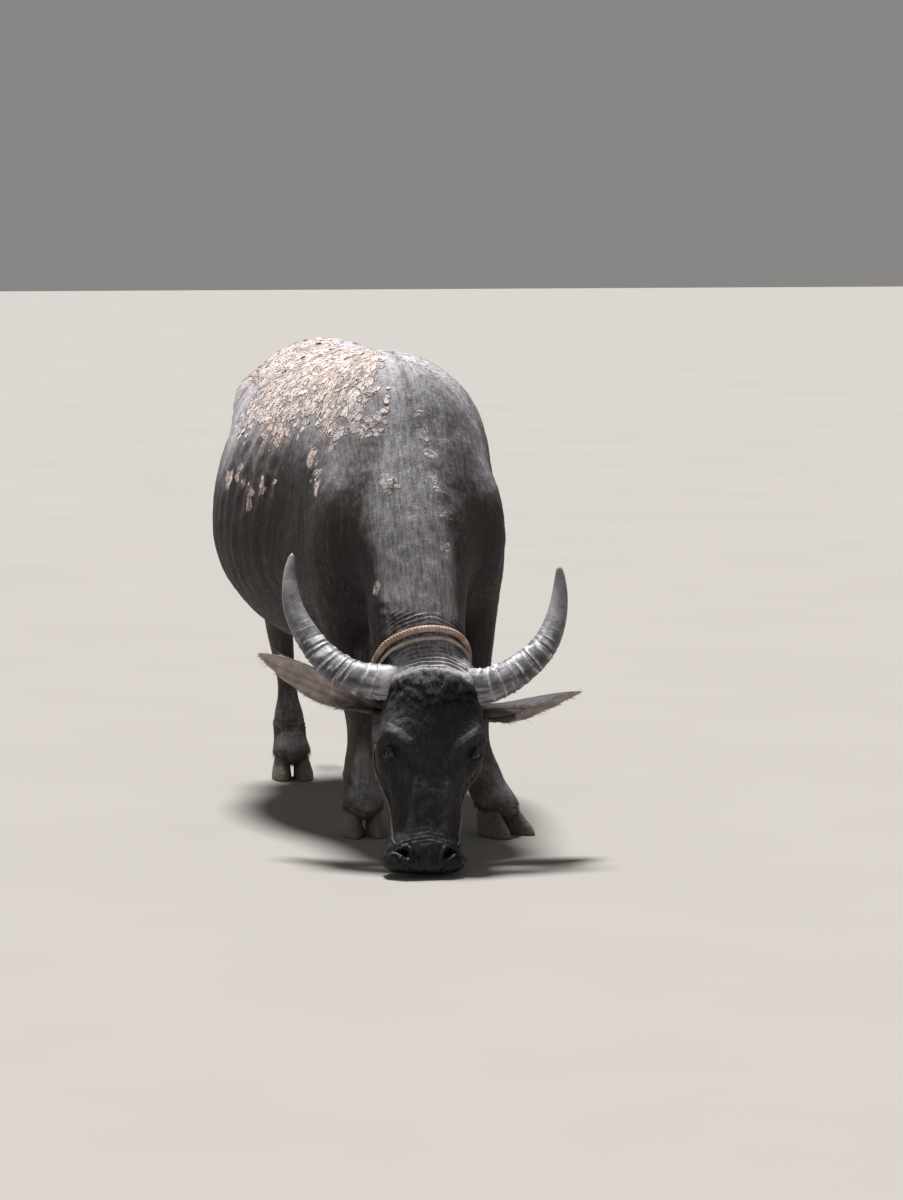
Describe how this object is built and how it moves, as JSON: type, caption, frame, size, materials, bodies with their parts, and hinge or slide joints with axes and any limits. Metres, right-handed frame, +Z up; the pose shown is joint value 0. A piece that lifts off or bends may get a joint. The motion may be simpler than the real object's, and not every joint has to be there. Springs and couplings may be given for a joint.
{
  "type": "water buffalo",
  "caption": "Life-size swamp water buffalo standing with its head down to graze, with swept crescent horns, a rope collar and a thin nose rope.",
  "frame": {"origin": "on the floor, under the middle of the whole animal's box", "axes": "+Z up, -Y toward the muzzle, +X toward the animal's left side"},
  "size_m": [0.8102, 2.1116, 1.2882],
  "materials": {
    "hide": "matte dark hide with sparse short hair and dried mud",
    "ear": "soft hide, pale inside",
    "eye": "wet and glossy",
    "horn": "ridged grey horn, smooth at the tip",
    "hoof": "worn matte horn",
    "collar_rope": "twisted fibre rope",
    "pale_rope": "thin twisted cord"
  },
  "bodies": {
    "root": {"head": "hide", "neck": "hide", "torso": "hide", "tail": "hide", "leg_front_right": "hide", "leg_front_left": "hide", "leg_hind_right": "hide", "leg_hind_left": "hide", "ear_right": "ear", "ear_left": "ear", "eye_right": "eye", "eye_left": "eye", "horn_right": "horn", "horn_left": "horn", "claw_front_right_right": "hoof", "claw_front_right_left": "hoof", "claw_front_left_right": "hoof", "claw_front_left_left": "hoof", "claw_hind_right_right": "hoof", "claw_hind_right_left": "hoof", "claw_hind_left_right": "hoof", "claw_hind_left_left": "hoof", "dewclaw_front_right_right": "hoof", "dewclaw_front_right_left": "hoof", "dewclaw_front_left_right": "hoof", "dewclaw_front_left_left": "hoof", "dewclaw_hind_right_right": "hoof", "dewclaw_hind_right_left": "hoof", "dewclaw_hind_left_right": "hoof", "dewclaw_hind_left_left": "hoof", "collar_rope": "collar_rope", "collar_cord": "pale_rope", "nose_rope_right": "pale_rope", "nose_rope_left": "pale_rope"}
  },
  "joints": []
}
